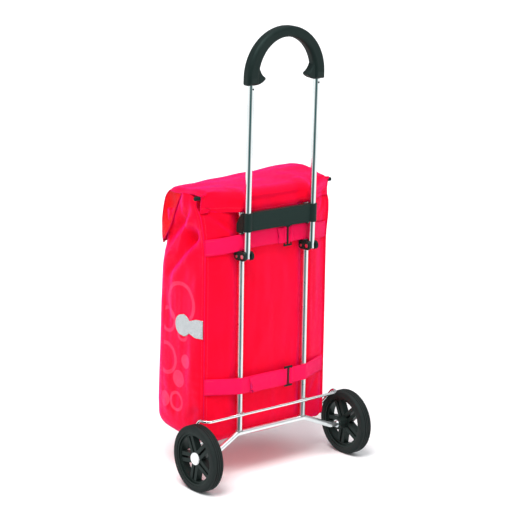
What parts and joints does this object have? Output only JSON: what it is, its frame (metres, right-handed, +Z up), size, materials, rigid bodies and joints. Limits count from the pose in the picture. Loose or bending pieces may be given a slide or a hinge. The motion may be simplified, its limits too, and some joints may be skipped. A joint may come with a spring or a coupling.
{
  "type": "shopping trolley on wheels",
  "caption": "Two-wheeled shopping trolley with a chromed tube frame, a fold-down arched push handle, a wire base with a front foot and a fabric bag with a flap lid.",
  "frame": {"origin": "on the floor, under the middle of the whole trolley's box", "axes": "+X across the trolley to the left wheel, -Y to the front of the bag, +Y to the user's side where the handle stands, +Z up"},
  "size_m": [0.4594, 0.3213, 1.0143],
  "materials": {
    "chrome_tube": "bright chrome plate on round steel tube",
    "chrome_wire": "bright chrome plate on steel wire",
    "zinc_steel": "zinc-plated rivets, axles and washers",
    "black_plastic": "black moulded plastic, fine texture",
    "grip_plastic": "black soft-touch plastic",
    "wheel_plastic": "black moulded plastic, slightly worn",
    "tyre_rubber": "dark grey rubber with a grooved tread",
    "white_cap": "white glossy plastic",
    "bag_fabric": "red woven polyester",
    "base_board": "stiff black base board",
    "webbing": "pink-red ribbed webbing",
    "reflective": "grey reflective fabric"
  },
  "bodies": {
    "chassis": {"axle_tube": "chrome_tube", "axle_washer_left": "zinc_steel", "axle_washer_right": "zinc_steel", "bag_back_panel": "bag_fabric", "bag_base_panel": "bag_fabric", "bag_front_panel": "bag_fabric", "bag_hood": "bag_fabric", "bag_side_left": "bag_fabric", "bag_side_right": "bag_fabric", "base_board": "base_board", "base_wire": "chrome_wire", "bracket_rivet_left": "zinc_steel", "bracket_rivet_right": "zinc_steel", "cross_wires": "chrome_wire", "foot_pad_left": "black_plastic", "foot_pad_right": "black_plastic", "frame_leg_left": "chrome_tube", "frame_leg_right": "chrome_tube", "hanger_rod": "chrome_wire", "hinge_bracket_left": "black_plastic", "hinge_bracket_right": "black_plastic", "lid_yoke": "bag_fabric", "lower_buckle": "black_plastic", "lower_strap": "webbing", "pivot_rivet_left": "zinc_steel", "pivot_rivet_right": "zinc_steel", "push_nut_left": "zinc_steel", "push_nut_right": "zinc_steel", "reflective_tab_left": "reflective", "reflective_tab_right": "reflective", "rod_cap_left": "black_plastic", "rod_cap_right": "black_plastic", "stub_axle_left": "zinc_steel", "stub_axle_right": "zinc_steel", "upper_buckle": "black_plastic", "upper_strap": "webbing"},
    "wheel_left": {"hub_cap_left": "white_cap", "rim_left": "wheel_plastic", "tyre_left": "tyre_rubber"},
    "wheel_right": {"hub_cap_right": "white_cap", "rim_right": "wheel_plastic", "tyre_right": "tyre_rubber"},
    "handle": {"grip": "grip_plastic", "grip_rivet_left": "zinc_steel", "grip_rivet_right": "zinc_steel", "handle_tube_left": "chrome_tube", "handle_tube_right": "chrome_tube", "lock_bridge": "black_plastic"},
    "lid": {"lid_front_flap": "bag_fabric", "lid_gusset_left": "bag_fabric", "lid_gusset_right": "bag_fabric", "lid_top": "bag_fabric"}
  },
  "joints": [
    {"name": "wheel_left_spin", "type": "hinge", "parent": "chassis", "child": "wheel_left", "pos_m": [0.2154, 0.08575, 0.075], "axis": [1, 0, 0], "continuous": true},
    {"name": "wheel_right_spin", "type": "hinge", "parent": "chassis", "child": "wheel_right", "pos_m": [-0.2154, 0.08575, 0.075], "axis": [1, 0, 0], "continuous": true},
    {"name": "handle_fold", "type": "hinge", "parent": "chassis", "child": "handle", "pos_m": [0, 0.09205, 0.515], "axis": [-1, 0, 0], "range_deg": [0, 170]},
    {"name": "lid_open", "type": "hinge", "parent": "chassis", "child": "lid", "pos_m": [0, 0.03275, 0.657], "axis": [-1, 0, 0], "range_deg": [0, 85]}
  ]
}
